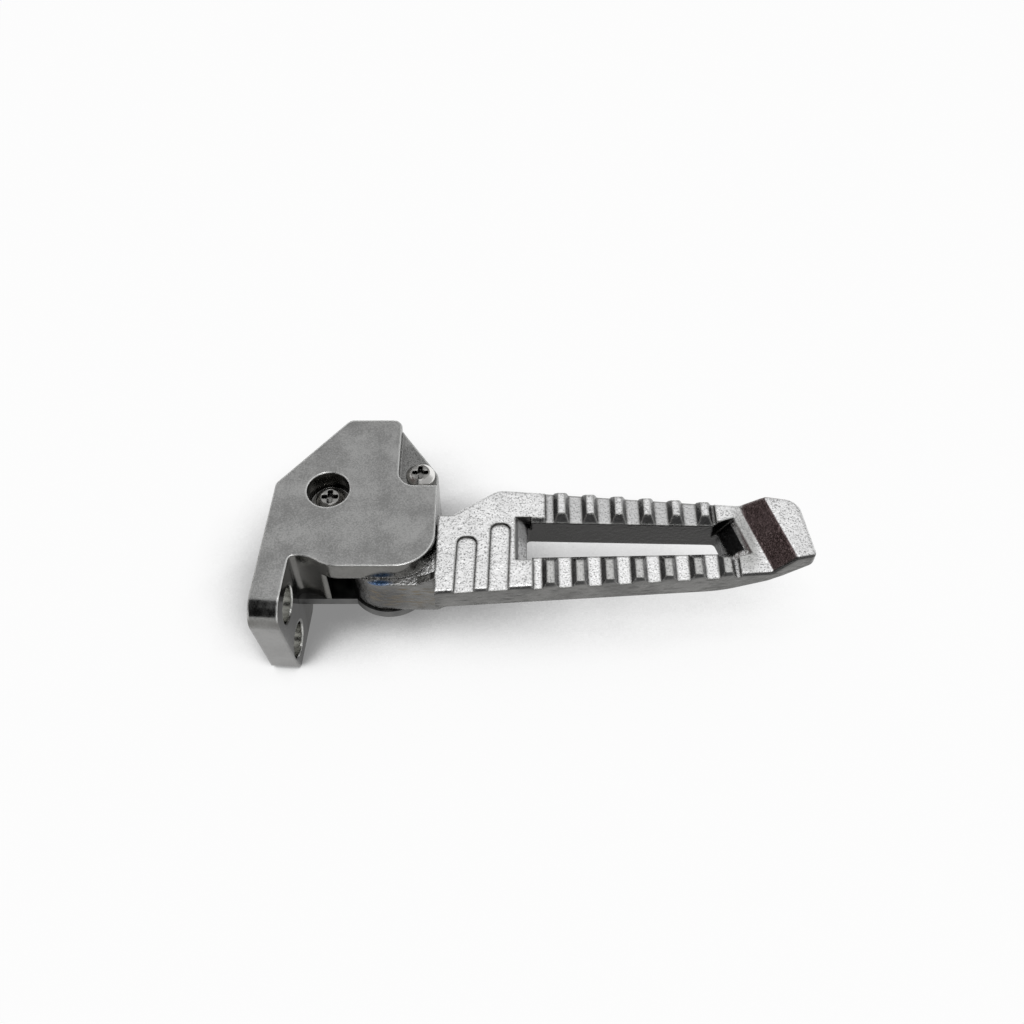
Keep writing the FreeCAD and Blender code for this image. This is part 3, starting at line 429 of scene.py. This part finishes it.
def soften(name, voxel, rounds):
    """Rounds every edge of a node a little by remeshing and smoothing it."""
    remesh = NODES[name].modifiers.new("remesh", "REMESH")
    remesh.mode = "VOXEL"
    remesh.voxel_size = voxel
    remesh.use_smooth_shade = True
    smooth = NODES[name].modifiers.new("smooth", "SMOOTH")
    smooth.factor = 0.5
    smooth.iterations = rounds


dress(tumbled_aluminium(), "bracket_housing")
dress(cast_aluminium(), "footpeg")
dress(bright_steel(), "pocket_screw", "pocket_washer", "corner_screw", "pivot_pin", "detent_spring",
      "detent_plunger")
dress(plate_steel(), "lower_plate")
dress(bronze(), "upper_bush", "lower_bush")
for screw in ("pocket_screw", "corner_screw"):
    soften(screw, voxel=0.14 * MM, rounds=16)

# Studio: a white floor with a soft shadow, a sky with a few panels, and a soft overhead lamp.
FLOOR_LEVEL = CAD_BOX[0][2]
FLOOR_HALF = 3.0
FLOOR_ROUGHNESS = 0.9
FLOOR_GLOW = 0.94
SHADOW_GREY = grey(0.25)
SHADOW_REACH = 40 * MM
SLANT = math.sqrt(0.5)
CAMERA_PLACE = (0.0665, -0.1500, 0.2563)
CAMERA_TILT = math.radians(36.0)
CAMERA_LENS = 38.67
LAMP_PLACE = (0.07, 0.0, 0.60)
LAMP_TARGET = (0.07, 0.02, 0.0)
LAMP_WIDTH = 0.2
LAMP_POWER = 0.3

# Parts of the sky, as spans of the x, y or z of a direction, and their tones.
LEFT_TO_RIGHT_X = (-0.75, -0.3)
LEFT_AND_RIGHT = ((0.085, 0.072, 0.068), grey(0.4))
OVERHEAD_Y = (-0.3, 0.12)
OVERHEAD_Z = (0.5, 0.78)
OVERHEAD_GREY = grey(0.92)
HORIZON_Z = (0.2, 0.3)
DARK_PANEL_LEFT_X = (-0.52, -0.47)
DARK_PANEL_RIGHT_X = (-0.18, -0.23)
DARK_PANEL_REAR_Y = (0.0, -0.1)
DARK_PANEL_FOOT_Z = (0.05, 0.1)
DARK_PANEL_GREY = grey(0.01)
WHITE_PANEL_ELEVATION = math.radians(54.0)
WHITE_PANEL_RIM = (0.965, 0.99)


def white_floor():
    """White to the camera and in reflections, with a soft shadow where the part hides the front light."""
    made = Finish("white_floor", metallic=0.0)
    light = made.add("LightPath")
    shown = made.any_of(light.outputs["Is Camera Ray"], light.outputs["Is Glossy Ray"],
                        light.outputs["Is Transmission Ray"])
    to_light = made.add("CombineXYZ", {0: 0.0, 1: -SLANT, 2: SLANT}).outputs[0]
    seen = made.add("AmbientOcclusion", {"Distance": SHADOW_REACH, "Normal": to_light}, samples=16)
    white = made.blend(made.spread(seen.outputs["AO"], 0.62, 0.92), SHADOW_GREY, WHITE)
    glow = made.add("Emission", {"Color": white, "Strength": 1.0})
    share = made.calculate("MULTIPLY", shown, FLOOR_GLOW)
    mixed = made.add("MixShader", {0: share, 1: made.shader.outputs[0], 2: glow.outputs[0]})
    made.feed(made.tree.nodes["Material Output"].inputs["Surface"], mixed.outputs[0])
    return made.finish(white, FLOOR_ROUGHNESS)


def make_floor():
    """A square floor under the part."""
    corners = []
    for x, y in ((-1, -1), (1, -1), (1, 1), (-1, 1)):
        corners.append((x * FLOOR_HALF, y * FLOOR_HALF, FLOOR_LEVEL))
    mesh = bpy.data.meshes.new("floor")
    mesh.from_pydata(corners, [], [(0, 1, 2, 3)])
    mesh.materials.append(white_floor())
    floor = bpy.data.objects.new("floor", mesh)
    bpy.context.scene.collection.objects.link(floor)


def make_sky():
    """A grey sky: brown on the left, pale overhead, white at the horizon, and two panels in front."""
    world = bpy.data.worlds.new("studio")
    bpy.context.scene.world = world
    world.use_nodes = True
    sky = Nodes(world.node_tree)
    direction = sky.add("TexCoord").outputs["Generated"]
    x, y, z = sky.add("SeparateXYZ", {0: direction}).outputs

    color = sky.blend(sky.spread(x, *LEFT_TO_RIGHT_X), *LEFT_AND_RIGHT)
    overhead = sky.all_of(sky.spread(z, *OVERHEAD_Z), sky.spread(y, *OVERHEAD_Y))
    color = sky.blend(overhead, color, OVERHEAD_GREY)
    color = sky.blend(sky.spread(z, *HORIZON_Z), WHITE, color)
    # The dark panel shows in the rounded corner of the flange.
    dark_panel = sky.all_of(sky.spread(x, *DARK_PANEL_LEFT_X), sky.spread(x, *DARK_PANEL_RIGHT_X),
                            sky.spread(y, *DARK_PANEL_REAR_Y), sky.spread(z, *DARK_PANEL_FOOT_Z))
    color = sky.blend(dark_panel, color, DARK_PANEL_GREY)
    to_panel = (0.0, -math.cos(WHITE_PANEL_ELEVATION), math.sin(WHITE_PANEL_ELEVATION))
    white_panel = sky.spread(sky.facing(direction, to_panel), *WHITE_PANEL_RIM)
    color = sky.blend(white_panel, color, WHITE)

    background = world.node_tree.nodes["Background"]
    sky.feed(background.inputs["Color"], color)
    sky.feed(background.inputs["Strength"], 1.0)


def make_lamp():
    """A round soft lamp above the part."""
    data = bpy.data.lights.new("overhead", "AREA")
    data.shape = "DISK"
    data.size = LAMP_WIDTH
    data.energy = LAMP_POWER
    lamp = bpy.data.objects.new("overhead", data)
    bpy.context.scene.collection.objects.link(lamp)
    lamp.location = LAMP_PLACE
    lamp.rotation_euler = (Vector(LAMP_TARGET) - Vector(LAMP_PLACE)).to_track_quat("-Z", "Y").to_euler()


def make_camera():
    """The photo's point of view."""
    data = bpy.data.cameras.new("camera")
    data.lens = CAMERA_LENS
    data.clip_start = 0.01
    camera = bpy.data.objects.new("camera", data)
    bpy.context.scene.collection.objects.link(camera)
    camera.location = CAMERA_PLACE
    camera.rotation_euler = (CAMERA_TILT, 0.0, 0.0)
    bpy.context.scene.camera = camera


bpy.context.scene.view_settings.view_transform = "Standard"
make_floor()
make_sky()
make_lamp()
make_camera()
